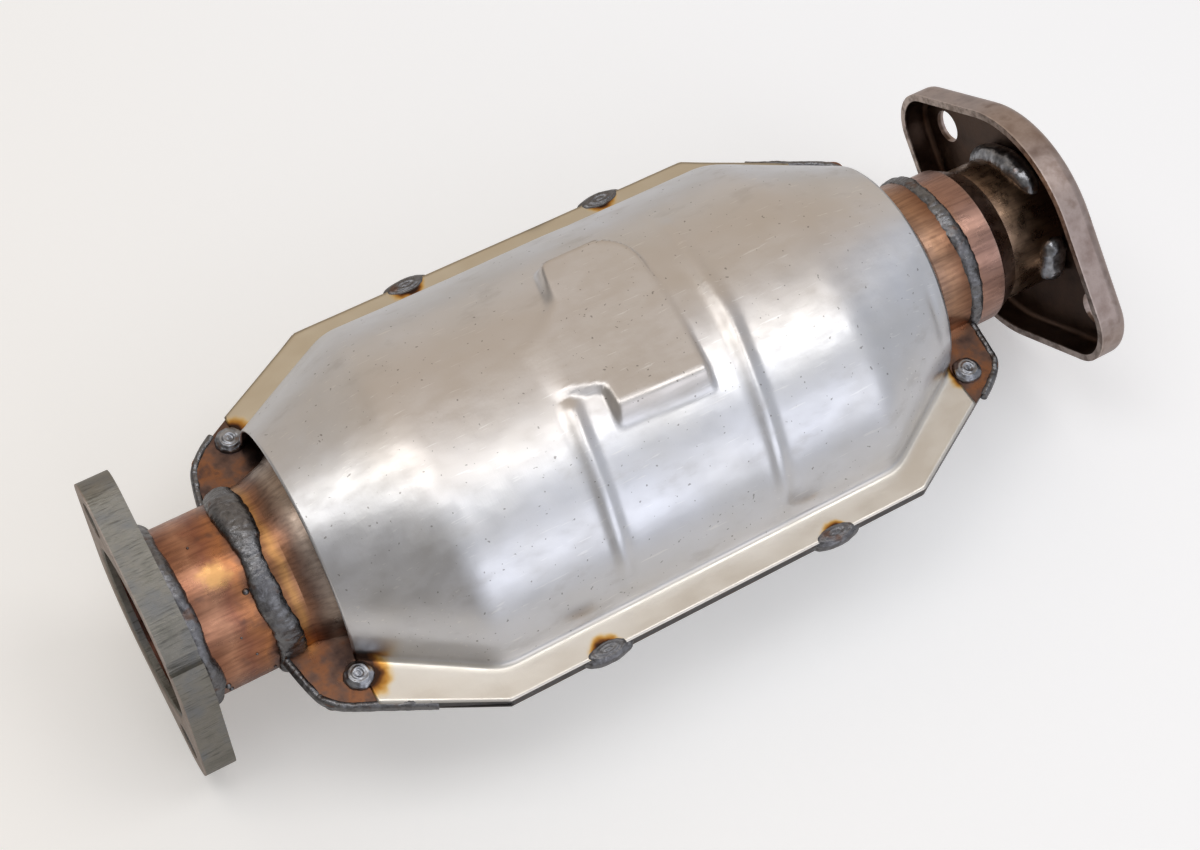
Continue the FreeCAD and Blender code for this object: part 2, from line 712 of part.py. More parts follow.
plug_axes = ("Size.plug_weld_radius", "Size.plug_weld_radius", "Size.plug_weld_height")
plug_places = (("inlet", "Size.shield_start - Size.inlet_plug_gap"),
               ("outlet", "Size.shield_end + Size.outlet_plug_gap"))
inlet_shift = " + Size.inlet_end_shift"
for level, up, span in (("upper", "", (0, 90)), ("lower", "-", (-90, 0))):
    for end, plug_x in plug_places:
        for side, sign in (("left", ""), ("right", "-")):
            offset = inlet_shift if (end, side) == ("inlet", "left") else ""
            plug_y = f"{sign}(Size.plug_weld_y{offset})"
            centre = (plug_x, plug_y, f"{up}Size.shell_sheet")
            puddle(f"{level}_{end}_{side}_plug_weld", plug_axes, centre, span)

edge_axes = ("Size.edge_weld_length / 2", "Size.edge_weld_width / 2", "Size.edge_weld_height / 2")
for side, sign in (("left", ""), ("right", "-")):
    for end in ("front", "rear"):
        centre = (f"Size.{side}_{end}_weld_x", f"{sign}Size.flange_half_width", "0")
        puddle(f"{side}_{end}_edge_weld", edge_axes, centre, (-90, 90))

# ---------------------------------------------------------------- check and export

doc.recompute()
for item in doc.Objects:
    if "Invalid" in item.State or "Error" in item.State:
        raise RuntimeError(f"{item.Label} did not build: {item.State}")
for piece in parts:
    if piece.Shape.isNull() or not piece.Shape.isValid() or not piece.Shape.Solids:
        raise RuntimeError(f"{piece.Label} has no valid solid")

os.makedirs("parts", exist_ok=True)
for piece in parts:
    piece.Shape.exportStep(f"parts/{piece.Label}.step")
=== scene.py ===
import math

import bmesh
import bpy
from mathutils import Matrix, Vector, noise


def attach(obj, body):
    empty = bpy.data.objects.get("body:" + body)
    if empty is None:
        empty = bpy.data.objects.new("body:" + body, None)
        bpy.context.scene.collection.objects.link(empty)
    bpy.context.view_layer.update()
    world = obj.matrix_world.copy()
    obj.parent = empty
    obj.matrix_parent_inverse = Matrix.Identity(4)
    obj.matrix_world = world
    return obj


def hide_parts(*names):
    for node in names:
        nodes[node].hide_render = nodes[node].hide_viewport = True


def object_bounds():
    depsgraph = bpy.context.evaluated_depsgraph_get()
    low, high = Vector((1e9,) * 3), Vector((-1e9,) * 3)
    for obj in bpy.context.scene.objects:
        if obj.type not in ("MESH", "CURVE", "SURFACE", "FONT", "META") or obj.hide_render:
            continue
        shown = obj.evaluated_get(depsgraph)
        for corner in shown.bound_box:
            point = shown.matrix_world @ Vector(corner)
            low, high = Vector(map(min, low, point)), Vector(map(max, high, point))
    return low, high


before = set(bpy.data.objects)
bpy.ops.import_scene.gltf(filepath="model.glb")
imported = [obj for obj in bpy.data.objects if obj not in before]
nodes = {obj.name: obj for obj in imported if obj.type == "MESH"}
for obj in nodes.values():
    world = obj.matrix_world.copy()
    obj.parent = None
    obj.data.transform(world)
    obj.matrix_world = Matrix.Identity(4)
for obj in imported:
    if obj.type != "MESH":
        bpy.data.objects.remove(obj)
cad_low, cad_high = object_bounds()

# ---------------------------------------------------------------------------
# Bricks, mats and wire rings: two honeycombs of cordierite, each wrapped in a ceramic
# fibre mat, with rings of knitted stainless wire at the ends and between them. They are
# laid into the lower shell before it is closed, and show only through the open pipes.
# ---------------------------------------------------------------------------

MM = 0.001
USUAL_SETTINGS = {"Mix": {"data_type": "RGBA"},
                  "MapRange": {"interpolation_type": "SMOOTHSTEP"}}


def hex_colour(code):
    """An sRGB hex code as the linear colour that a shader takes."""
    channels = [int(code[i:i + 2], 16) / 255 for i in (0, 2, 4)]
    linear = [c / 12.92 if c <= 0.04045 else ((c + 0.055) / 1.055) ** 2.4 for c in channels]
    return (*linear, 1)


def add(tree, kind, *given, named=None, output=None, stops=(), **settings):
    """Adds a node with its settings and links, and returns its first output in use.

    What is given goes to the inputs in use, in their order, and the rest goes by name.
    It may be a value, a hex code or another node's output. Stops are for a colour ramp.
    """
    made = tree.nodes.new("ShaderNode" + kind)
    for name, value in {**USUAL_SETTINGS.get(kind, {}), **settings}.items():
        setattr(made, name, value)
    filled = list(zip([socket for socket in made.inputs if socket.enabled], given))
    filled += [(made.inputs[name], value) for name, value in (named or {}).items()]
    for socket, value in filled:
        if isinstance(value, bpy.types.NodeSocket):
            tree.links.new(value, socket)
        else:
            socket.default_value = hex_colour(value) if isinstance(value, str) else value
    if stops:
        elements = made.color_ramp.elements
        while len(elements) < len(stops):
            elements.new(0.5)
        for element, (position, code) in zip(elements, stops):
            element.position = position
            element.color = hex_colour(code)
    if output:
        return made.outputs[output]
    return next((socket for socket in made.outputs if socket.enabled), None)


def grain(tree, size_mm, stretch=(1, 1, 1), detail=4.0):
    """Noise whose features are about size_mm across, longer where stretch is small."""
    place = add(tree, "TexCoord", output="Object")
    scaled = add(tree, "Mapping", named={"Vector": place, "Scale": stretch})
    return add(tree, "TexNoise", named={
        "Vector": scaled, "Scale": 1 / (size_mm * MM), "Detail": detail, "Roughness": 0.55})


def new_material(name):
    """An empty material and its node tree."""
    material = bpy.data.materials.new(name)
    material.use_nodes = True
    material.node_tree.nodes.clear()
    return material, material.node_tree


def finish(tree, colour, roughness, bumps, metallic=1.0):
    """The surface itself; bumps are (height output, depth in mm) pairs, coarsest first."""
    relief = {}
    for height, depth in bumps:
        relief["Normal"] = add(tree, "Bump", named={
            "Height": height, "Distance": depth * MM, "Strength": 1.0, **relief})
    surface = add(tree, "BsdfPrincipled", named={
        "Base Color": colour, "Roughness": roughness, "Metallic": metallic, **relief})
    add(tree, "OutputMaterial", surface)


def paint(material, *names):
    """Gives CAD nodes a material."""
    for name in names:
        for held in nodes[name].material_slots:
            held.material = material


# Cordierite with its catalyst washcoat: fired, chalky and buff, with no shine at all.
ceramic, tree = new_material("washcoated_cordierite")
colour = add(tree, "ValToRGB", grain(tree, 4), stops=[(0.3, "B89F78"), (0.7, "D2C09A")])
finish(tree, colour, 0.9, [(grain(tree, 0.6), 0.1)], metallic=0.0)
paint(ceramic, "front_brick", "rear_brick")

# Ceramic fibre: a white felt, soft and quite dull.
fibre, tree = new_material("ceramic_fibre_mat")
colour = add(tree, "ValToRGB", grain(tree, 2, detail=6), stops=[(0.3, "D8D2C4"), (0.7, "F0ECE2")])
finish(tree, colour, 0.95, [(grain(tree, 0.8), 0.3)], metallic=0.0)
paint(fibre, "front_mat", "rear_mat")

# Knitted stainless wire: bright loops over dark gaps that are painted shade, drawn coarser than
# 0.2 mm wire.
knitted, tree = new_material("knitted_wire")
wires = grain(tree, 0.8, stretch=(1, 0.3, 1), detail=2)
colour = add(tree, "ValToRGB", wires, stops=[(0.35, "3A3836"), (0.6, "B5B0A8")])
finish(tree, colour, 0.4, [(wires, 0.4)])
paint(knitted, "front_mesh_seal", "rear_mesh_seal", "brick_spacer_ring")

# ---------------------------------------------------------------------------
# Shell halves: two mirrored pressings of 1.2 mm ferritic stainless, seam-welded edge to
# edge. Only the half necks, the side flanges' rims and the four lugs show.
# ---------------------------------------------------------------------------

SHELL_SHEET = 1.2
NECK_RADIUS = 25.8


def place_along(tree, axis):
    """The place along X, Y or Z, in metres."""
    return add(tree, "SeparateXYZ", add(tree, "TexCoord", output="Object"), output=axis)


def colour_bands(tree, stops, low_mm, high_mm, wander=2.5):
    """Bands of colour along X between two places, which wander, under fine drawn streaks."""
    drift = add(tree, "Math", grain(tree, 9, detail=3), 0.5, operation="SUBTRACT")
    drift = add(tree, "Math", drift, 4 * wander * MM, operation="MULTIPLY")
    x = add(tree, "Math", place_along(tree, "X"), drift, operation="ADD")
    heated = add(tree, "MapRange", x, low_mm * MM, high_mm * MM, interpolation_type="LINEAR")
    colour = add(tree, "ValToRGB", heated, stops=stops)
    streaks = add(tree, "ValToRGB", grain(tree, 1.1, stretch=(0.10, 1, 1), detail=5),
                  stops=[(0.32, "85797A"), (0.58, "FFFAF6")])
    return add(tree, "Mix", 0.45, colour, streaks, blend_type="MULTIPLY")


def finish_tinted(tree, colour, smooth, dull):
    """Drawn tube or pressed sheet: a slight waviness under fine lines along X."""
    rough = add(tree, "MapRange", grain(tree, 4), 0.3, 0.7, smooth, dull)
    lines = grain(tree, 0.8, stretch=(0.1, 1, 1), detail=3)
    finish(tree, colour, rough, [(grain(tree, 6), 0.10), (lines, 0.02)])


# Ferritic stainless browned by welding: gold and brown bands next to the beads and blotchy brown
# lugs. A pale cream band on the inlet neck beside the shield's edge is a painted highlight, and
# the dark grey on the flanges' cut edges is painted shade.
shell_tint_and_painted_light, tree = new_material("heat_tinted_shell_and_painted_light")
# The pale stop at 0.070, on the inlet neck beside the shield's edge, is a painted highlight.
colour = colour_bands(tree, [
    (0.0, "6A4A3C"), (0.026, "8E6448"), (0.034, "C4925C"), (0.044, "A0745A"), (0.056, "80675A"),
    (0.070, "B3A294"), (0.092, "8C7A6D"), (0.90, "967B6C"), (0.94, "A08474"), (0.965, "B48C70"),
    (0.985, "946C54"), (1.0, "6E5040")], 31, 266, wander=1.2)
lug_steel = add(tree, "ValToRGB", grain(tree, 7), stops=[
    (0.30, "50423F"), (0.46, "745B50"), (0.60, "94664A"), (0.72, "665049")])
beside = add(tree, "Math", place_along(tree, "Y"), operation="ABSOLUTE")
on_lug = add(tree, "MapRange", beside, 27 * MM, 31 * MM)
colour = add(tree, "Mix", on_lug, colour, lug_steel)
# Dark grey on the sheets' cut edges is painted shade along the flange stack.
shell_edge_shade = add(tree, "ValToRGB", grain(tree, 2), stops=[(0.3, "3B3A3B"), (0.7, "55504D")])
level = add(tree, "Math", place_along(tree, "Z"), operation="ABSOLUTE")
on_shell_edge_shade = add(tree, "MapRange", level, 1.16 * MM, 1.02 * MM)
colour = add(tree, "Mix", on_shell_edge_shade, colour, shell_edge_shade)
finish_tinted(tree, colour, 0.26, 0.42)
paint(shell_tint_and_painted_light, "upper_shell", "lower_shell")

# Weld metal as laid: mid-grey and lumpy with a semi-bright skin, and rust in the hollows.
weld_metal, tree = new_material("as_laid_weld_metal")
clouds = grain(tree, 3.5, detail=5)
fine = grain(tree, 0.7)
colour = add(tree, "ValToRGB", clouds, stops=[
    (0.28, "5C5A59"), (0.46, "807F80"), (0.60, "6C6A6B"), (0.78, "A0A0A3")])
rust = add(tree, "MapRange", grain(tree, 5.5, detail=2), 0.60, 0.74, 0, 0.7)
colour = add(tree, "Mix", rust, colour, "6B4C38")
rough = add(tree, "MapRange", fine, 0.3, 0.7, 0.26, 0.46)
finish(tree, colour, rough, [(clouds, 0.25), (fine, 0.1)])


def rough_at(point_mm, size_mm, octaves=3):
    """Smooth noise from -1 to 1 with features of about size_mm."""
    return noise.fractal(Vector(point_mm) / size_mm, 0.9, 2.0, octaves)


def make_object(bm, name, material, replaced=()):
    """A finished piece: its mesh holds its place, and it rides on the body."""
    mesh = bpy.data.meshes.new(name)
    bm.to_mesh(mesh)
    bm.free()
    mesh.materials.append(material)
    mesh.shade_smooth()
    piece = bpy.data.objects.new(name, mesh)
    bpy.context.scene.collection.objects.link(piece)
    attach(piece, "root")
    if replaced:
        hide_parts(*replaced)
    return piece


# The halves' edges are fused at the lugs, which leaves a rounded grey seam round each one.
SEAM_RADIUS = 1.35
SEAM_DEPTH = 1.25
LUG_SEAMS = {
    "inlet_right": [(31.4, -27.5), (32.6, -36.0), (35.4, -45.6), (46.0, -51.2), (62.0, -59.6)],
    "inlet_left": [(31.4, 27.5), (32.6, 34.0), (35.6, 43.2), (44.0, 48.6)],
    "outlet_right": [(264.2, -27.5), (263.2, -36.0), (262.2, -44.4), (252.0, -50.4)],
    "outlet_left": [(264.2, 27.5), (263.4, 36.0), (262.0, 45.0), (250.0, 51.4), (236.0, 59.0)],
}


def seam_tube(corners):
    """A closed tube on a smooth curve that the corners guide, as a mesh."""
    route = bpy.data.curves.new("lug_route", "CURVE")
    route.dimensions = "3D"
    route.bevel_depth = SEAM_RADIUS * MM
    route.bevel_resolution = 4
    route.use_fill_caps = True
    route.resolution_u = 40
    line = route.splines.new("NURBS")
    line.points.add(len(corners) - 1)
    for held, (x, y) in zip(line.points, corners):
        held.co = (x * MM, y * MM, 0, 1)
    line.order_u = 3
    line.use_endpoint_u = True
    carrier = bpy.data.objects.new("lug_route", route)
    tube = bpy.data.meshes.new_from_object(carrier)
    bpy.data.objects.remove(carrier)
    return tube


for label, corners in LUG_SEAMS.items():
    bm = bmesh.new()
    bm.from_mesh(seam_tube(corners))
    for vert in bm.verts:
        point = vert.co / MM
        swell = 1.0 + 0.28 * rough_at(point, 3.5) + 0.10 * rough_at(point, 1.2)
        vert.co.z *= swell * SEAM_DEPTH
    bmesh.ops.remove_doubles(bm, verts=bm.verts, dist=0.01 * MM)
    bmesh.ops.recalc_face_normals(bm, faces=bm.faces)
    make_object(bm, f"{label}_lug_seam", weld_metal)

# ---------------------------------------------------------------------------
# Inlet flange: a two-bolt plate, flame-cut from 9.5 mm mild steel and welded to the
# inlet pipe. Only its outer face is machined.
# ---------------------------------------------------------------------------

FLANGE_THICKNESS = 9.5

# Flame-cut mild steel: a dull blue-grey scale, with the torch's drag lines across the
# edge. The machined face is a paler, warmer grey.
flame_cut, tree = new_material("flame_cut_mild_steel")
scale_cloud = grain(tree, 9, detail=5)
colour = add(tree, "ValToRGB", scale_cloud, stops=[
    (0.30, "77746B"), (0.50, "8F8B82"), (0.70, "898988")])
drag_lines = grain(tree, 0.55, stretch=(0.09, 1, 1), detail=3)
torch_side = add(tree, "MapRange", grain(tree, 5, detail=2), 0.40, 0.60, 0.35, 1.0)
lines = add(tree, "Math", add(tree, "MapRange", drag_lines, 0.50, 0.68), torch_side,
            operation="MULTIPLY")
lines = add(tree, "Math", lines, 0.6, operation="MULTIPLY")
colour = add(tree, "Mix", lines, colour, "55524C")
on_face = add(tree, "MapRange", place_along(tree, "X"), 0.5 * MM, 0.1 * MM)
machined = add(tree, "ValToRGB", grain(tree, 5), stops=[(0.3, "B0A297"), (0.7, "978A80")])
colour = add(tree, "Mix", on_face, colour, machined)
rough = add(tree, "MapRange", scale_cloud, 0.3, 0.7, 0.42, 0.60)
finish(tree, colour, rough, [(drag_lines, 0.22), (grain(tree, 1.6), 0.08)], metallic=0.85)
paint(flame_cut, "inlet_flange")

# ---------------------------------------------------------------------------
# Inlet pipe: a short stub of 50.8 mm stainless tube, welded into the flange and into
# the shell's neck.
# ---------------------------------------------------------------------------

PIPE_RADIUS = 25.4
GOLD_SPOT = (22.6, -6.6, 24.5)

# Stainless tube between two welds: copper, gold and brown bands round it, one pale gold
# spot on top, and brown patches, all under drawn lines.
stub_tint, tree = new_material("heat_tinted_stub")
colour = colour_bands(tree, [
    (0.0, "7E5648"), (0.18, "A07058"), (0.42, "C08D70"), (0.60, "A06C56"),
    (0.80, "BC8058"), (0.92, "86604F"), (1.0, "5E463D")], 9, 32)
spot_away = add(tree, "VectorMath", add(tree, "TexCoord", output="Object"),
                [place * MM for place in GOLD_SPOT], operation="DISTANCE")
ragged = add(tree, "Math", grain(tree, 3, detail=3), 8 * MM, operation="MULTIPLY")
spot_away = add(tree, "Math", spot_away, ragged, operation="ADD")
colour = add(tree, "Mix", add(tree, "MapRange", spot_away, 10 * MM, 5.5 * MM, 0, 0.65), colour,
             "D8A868")
patches = add(tree, "MapRange", grain(tree, 8, detail=3), 0.56, 0.72, 0, 0.6)
colour = add(tree, "Mix", patches, colour, "64504B")
finish_tinted(tree, colour, 0.24, 0.38)
paint(stub_tint, "inlet_pipe")

# ---------------------------------------------------------------------------
# Inlet welds: a fillet round the back of the flange, and the heavy bead that joins
# the stub to the shell's neck, laid by hand in short steps that left ripples.
# ---------------------------------------------------------------------------

FULL_TURN = 2 * math.pi
WELD_SIDES = 28
ROOT_SINK = 0.8
RIPPLE_DEPTH = 0.07
RIPPLE_LEAN = 0.35
PACE_CHANGE, PACE_LENGTH = 0.9, 6.0
LUMP_HEIGHT, LUMP_SIZE = 0.50, 4.2
PIMPLE_HEIGHT, PIMPLE_SIZE = 0.09, 1.1
EDGE_WANDER, EDGE_WANDER_SIZE = 0.35, 2.6


def weld_ring(steps, start, sweep):
    """A torus of unit section round X; each vertex comes back as (vertex, angle, across, out)."""
    bm = bmesh.new()
    far = 10.0
    bmesh.ops.create_circle(bm, segments=WELD_SIDES, radius=1.0, cap_ends=False,
                            matrix=Matrix.Translation((0, far, 0)))
    bmesh.ops.rotate(bm, verts=bm.verts, cent=(0, 0, 0), matrix=Matrix.Rotation(start, 3, "X"))
    bmesh.ops.spin(bm, geom=bm.verts[:] + bm.edges[:], cent=(0, 0, 0), axis=(1, 0, 0),
                   angle=sweep, steps=steps, use_merge=sweep == FULL_TURN, use_duplicate=False)
    laid = []
    for vert in bm.verts:
        angle = math.atan2(vert.co.z, vert.co.y) % FULL_TURN
        laid.append((vert, angle, vert.co.x, math.hypot(vert.co.y, vert.co.z) - far))
    return bm, laid


def lay_weld(name, at, radius, width, height, ripple, material=weld_metal, steps=520, start=0.0,
             sweep=FULL_TURN):
    """A hand-laid bead round X. at, radius, width and height are functions of the angle."""
    bm, laid = weld_ring(steps, start, sweep)
    for vert, angle, across, out in laid:
        x = at(angle) + across * width(angle) / 2
        crest = max(out, 0.0) * height(angle)
        point = (x, radius(angle) * math.cos(angle), radius(angle) * math.sin(angle))
        pace = PACE_CHANGE * rough_at(point, PACE_LENGTH, 2)
        lap = angle * radius(angle) / ripple + pace
        chevron = math.sin(FULL_TURN * (lap + RIPPLE_LEAN * abs(across)))
        crest += chevron * RIPPLE_DEPTH * (0.6 + 0.4 * rough_at(point, 8.0, 1)) * max(out, 0.0)
        lumps = LUMP_HEIGHT * rough_at(point, LUMP_SIZE)
        lumps += PIMPLE_HEIGHT * rough_at(point, PIMPLE_SIZE)
        r = radius(angle) + crest + lumps * max(out, 0.0) + min(out, 0.0) * ROOT_SINK
        turned = (point[1], point[2], point[0] + 40)
        x += EDGE_WANDER * rough_at(turned, EDGE_WANDER_SIZE) * across
        vert.co = Vector((x, r * math.cos(angle), r * math.sin(angle))) * MM
    if sweep < FULL_TURN:
        ends = [edge for edge in bm.edges if len(edge.link_faces) == 1]
        bmesh.ops.holes_fill(bm, edges=ends, sides=0)
    bmesh.ops.recalc_face_normals(bm, faces=bm.faces)
    return make_object(bm, name, material, replaced=[name])


def angle_gap(angle, centre):
    """The turn from centre to angle, the short way round."""
    return (angle - centre + math.pi) % FULL_TURN - math.pi


def inlet_bead_lump(angle):
    """The bead swells where its first run ends on top, and narrows just past that."""
    swell = math.exp(-(angle_gap(angle, math.radians(68)) / 0.42) ** 2)
    waist = math.exp(-(angle_gap(angle, math.radians(107)) / 0.16) ** 2)
    return 1.0 + 0.30 * swell - 0.22 * waist


lay_weld("inlet_neck_weld",
         at=lambda a: 34.2 + 0.7 * math.sin(2 * a + 0.5) + 0.5 * math.sin(5 * a),
         radius=lambda a: NECK_RADIUS,
         width=lambda a: 8.2 * inlet_bead_lump(a),
         height=lambda a: 2.1 * inlet_bead_lump(a), ripple=1.6)
lay_weld("inlet_flange_weld",
         at=lambda a: FLANGE_THICKNESS + 0.6 + 0.5 * math.sin(3 * a) + 0.3 * math.sin(7 * a),
         radius=lambda a: PIPE_RADIUS - 0.2,
         width=lambda a: 6.4 + 1.2 * math.sin(4 * a + 1) + 0.6 * math.sin(9 * a),
         height=lambda a: 2.4 + 0.7 * math.sin(5 * a), ripple=2.6)

# Drops of spatter that stuck to the stub: place along X, turn about it, and size.
SPATTER = [(28.0, 122, 1.0), (14.4, 184, 0.9), (15.2, 192, 0.7), (22.0, 148, 0.35),
           (24.5, 165, 0.4), (19.5, 80, 0.4), (28.6, 190, 0.45), (40.5, 118, 0.4)]
bm = bmesh.new()
for x, turn, size in SPATTER:
    angle = math.radians(turn)
    spot = Vector((x, PIPE_RADIUS * math.cos(angle), PIPE_RADIUS * math.sin(angle)))
    bmesh.ops.create_icosphere(bm, subdivisions=3, radius=size * MM,
                               matrix=Matrix.Translation(spot * MM))
make_object(bm, "weld_spatter", weld_metal)

# ---------------------------------------------------------------------------
# Outlet pipe and its neck weld: a swaged stainless tube whose collar is welded into the
# shell's neck, and whose smaller end goes on to the outlet flange.
# ---------------------------------------------------------------------------

# Swaged stainless: copper-pink on the collar next to the bead, brown beyond its step.
collar_tint, tree = new_material("heat_tinted_collar")
colour = colour_bands(tree, [
    (0.0, "B98A66"), (0.15, "B08A7A"), (0.32, "AA8678"), (0.36, "A0867A"), (0.55, "AC9078"),
    (0.80, "94765C"), (1.0, "66544A")], 264, 303, wander=0.8)
finish_tinted(tree, colour, 0.24, 0.38)
paint(collar_tint, "outlet_pipe")

lay_weld("outlet_neck_weld",
         at=lambda a: 265.6 + 0.5 * math.sin(3 * a),
         radius=lambda a: NECK_RADIUS,
         width=lambda a: 5.6 + 0.6 * math.sin(4 * a), height=lambda a: 1.6, ripple=1.8)

# ---------------------------------------------------------------------------
# Outlet flange: a two-bolt flange pressed from sheet, its rim turned towards the body.
# Three short weld runs hold it to the outlet pipe.
# ---------------------------------------------------------------------------

DISH_STARTS = 303.8 * MM, 303.0 * MM
LIP_STARTS = 294.5 * MM, 293.9 * MM
FLANGE_RUNS = [("left", 18.0, 90.0), ("right", 146.0, 42.0), ("under", 252.0, 74.0)]

# Pressed steel with heat scale: dark brown inside the dish, paler and pinkish outside
# where it has been handled, and worn almost bright along the rim's lip.
pressed, tree = new_material("scaled_pressed_steel")
clouds = grain(tree, 8, detail=5)
colour = add(tree, "ValToRGB", clouds, stops=[
    (0.3, "8E7B72"), (0.55, "B3A29A"), (0.75, "8A766B")])
dish_scale = add(tree, "ValToRGB", clouds, stops=[(0.3, "4A3B33"), (0.7, "6B574B")])
outward = add(tree, "VectorMath", add(tree, "TexCoord", output="Object"), (0, 1, 1),
              operation="MULTIPLY")
outward = add(tree, "VectorMath", outward, operation="NORMALIZE")
facing = add(tree, "VectorMath", add(tree, "NewGeometry", output="Normal"), outward,
             operation="DOT_PRODUCT")
behind_face = add(tree, "MapRange", place_along(tree, "X"), *DISH_STARTS)
in_dish = add(tree, "Math", add(tree, "MapRange", facing, 0.35, 0.15), behind_face,
              operation="MULTIPLY")
colour = add(tree, "Mix", in_dish, colour, dish_scale)
on_lip = add(tree, "MapRange", place_along(tree, "X"), *LIP_STARTS)
lip_wear = add(tree, "MapRange", grain(tree, 3), 0.35, 0.6, 0.35, 0.9)
on_lip = add(tree, "Math", on_lip, lip_wear, operation="MULTIPLY")
colour = add(tree, "Mix", on_lip, colour, "CDBDB3")
rough = add(tree, "MapRange", clouds, 0.3, 0.7, 0.32, 0.48)
finish(tree, colour, rough, [(clouds, 0.15), (grain(tree, 1.2), 0.05)])
paint(pressed, "outlet_flange")

# Weld metal that froze clean: pale, glossy grey with small brown stains.
bright_weld, tree = new_material("glossy_plug_weld_metal")
clouds = grain(tree, 2.2)
colour = add(tree, "ValToRGB", clouds, stops=[
    (0.30, "77777A"), (0.50, "9A9B9F"), (0.70, "B8B9BD")])
stains = add(tree, "MapRange", grain(tree, 4, detail=2), 0.60, 0.72, 0, 0.6)
colour = add(tree, "Mix", stains, colour, "7A5A44")
finish(tree, colour, 0.30, [(clouds, 0.15), (grain(tree, 0.8), 0.05)])


def run_swell(angle, first, sweep):
    """1 along a short run, rounded off to almost nothing at both ends."""
    share = ((angle - first) % FULL_TURN) / sweep
    return max(1 - (2 * min(share, 1.0) - 1) ** 4, 0.02) ** 0.5


for label, start, turn in FLANGE_RUNS:
    first, sweep = math.radians(start), math.radians(turn)
    lay_weld(f"outlet_flange_{label}_weld", material=bright_weld, start=first, sweep=sweep,
             at=lambda a: 298.2, radius=lambda a: 22.0,
             width=lambda a: 8.6 * run_swell(a, first, sweep),
             height=lambda a: 3.8 * run_swell(a, first, sweep), ripple=2.0, steps=120)

# ---------------------------------------------------------------------------
# Heat shields: pressed covers of thin bright stainless, with soft creases at the cones,
# two cross beads and a raised pad. They lie on the shells' side flanges, tack-welded.
# ---------------------------------------------------------------------------

SHIELD_SHEET = 0.6
SHIELD_BASE = SHELL_SHEET + SHIELD_SHEET
SHIELD_START, SHIELD_END = 48.7, 247.8
DOME_WIDTHS = [(48.7, 38.1), (83.2, 58.6), (214.2, 58.6), (247.8, 37.9)]
DOME_HEIGHTS = [(48.7, 33.8), (83.2, 42.6), (214.2, 42.6), (247.8, 37.4)]
DOME_SHIFTS = [(48.7, 2.4), (83.2, 0.0), (214.2, 0.0), (247.8, 0.0)]
FLANGE_EDGES = [(47.0, 51.2), (80.2, 69.2), (217.6, 69.2), (249.0, 51.4)]
FOLD_RADIUS = 2.2
CREASE = 3.5
END_SLANT = 1.2
FLANGE_STEPS, FOLD_STEPS, DOME_STEPS, LENGTH_STEPS = 8, 5, 148, 240


def soft_step(value, low, high):
    """0 below low, 1 above high, and smooth between."""
    t = min(max((value - low) / (high - low), 0.0), 1.0)
    return t * t * (3 - 2 * t)


def between(x, stations):
    """Straight lines through (x, value) stations, carried on past both ends."""
    for (x0, v0), (x1, v1) in zip(stations, stations[1:]):
        if x <= x1 or (x1, v1) == stations[-1]:
            return v0 + (v1 - v0) * (x - x0) / (x1 - x0)


def creased(x, stations):
    """The same, with its corners rounded over CREASE each way."""
    steps = (-1.0, -0.6, -0.2, 0.2, 0.6, 1.0)
    return sum(between(x + CREASE * step, stations) for step in steps) / len(steps)


# The cross beads: lines of (y, x), how far each runs, and the section that they share.
FRONT_BEAD = [(-60, 123.6), (-47, 124.1), (-36, 125.2), (-27, 125.9), (-12, 128.0)]
FRONT_BEAD_ENDS = -57, -14
REAR_BEAD = [(-60, 175.4), (-50, 176.2), (-31, 178.4), (-10, 181.6), (12, 182.2), (30, 184.6),
             (60, 187.0)]
REAR_BEAD_ENDS = -57, 28
BEAD_HEIGHT = 1.5
BEAD_SPREAD = 2.7
BEAD_LOSS = 0.45
TROUGH_SHARE, TROUGH_SPREAD = 0.12, 2.4


def bead_rise(x, y, line, first, last):
    """A bead's height; it has a shallow trough on both sides and flattens over the crown."""
    across = (x - between(y, line)) / BEAD_SPREAD
    fade = soft_step(y, first - 3, first + 3) * (1 - soft_step(y, last - 4, last + 2))
    fade *= 1 - BEAD_LOSS * soft_step(y, -8, 14)
    trough = TROUGH_SHARE * math.exp(-(across / TROUGH_SPREAD) ** 2)
    return BEAD_HEIGHT * fade * (math.exp(-across ** 2) - trough)


# The pad: its level, its two long edges as lines of (y, x), how soft the left one is,
# and where its foot and its rounded head are.
PAD_LEVEL = 45.0
PAD_BOW = 0.3
PAD_RIGHT = [(-27, 166.9), (-8, 168.6), (17, 170.2), (23, 169.6)]
PAD_LEFT = [(-30, 137.4), (-16, 138.2), (-12, 127.0), (6, 127.0), (16, 139.0), (30, 142.5)]
PAD_LEFT_SOFT = [(-30, 2.6), (-16, 2.6), (-11, 8.0), (8, 12.0), (17, 5.0), (24, 2.6), (30, 2.6)]
PAD_FOOT = -28.4, -22.6
PAD_FOOT_SLANT = 0.06
PAD_HEAD = 30.2
PAD_CORNER = 11.0


def pad_share(x, y):
    """How far the flat pad is pressed up at a place: 0 on the plain dome, 1 on the pad."""
    right_edge, left_edge = between(y, PAD_RIGHT), between(y, PAD_LEFT)
    soft = max(between(y, PAD_LEFT_SOFT), 2.4) / 2
    right = 1 - soft_step(x, right_edge - 1.0, right_edge + 1.4)
    left = soft_step(x, left_edge - soft, left_edge + soft)
    foot = soft_step(y + PAD_FOOT_SLANT * (x - 150), *PAD_FOOT)
    past_right = max(x - (right_edge - PAD_CORNER), 0.0)
    past_left = max((left_edge + PAD_CORNER / 2) - x, 0.0) if y > 12 else 0.0
    past_head = max(y - (PAD_HEAD - PAD_CORNER), 0.0)
    head = 1 - soft_step(math.hypot(max(past_right, past_left), past_head), PAD_CORNER - 1.2,
                         PAD_CORNER + 1.4)
    return right * left * foot * (head if y > 10 else 1.0)


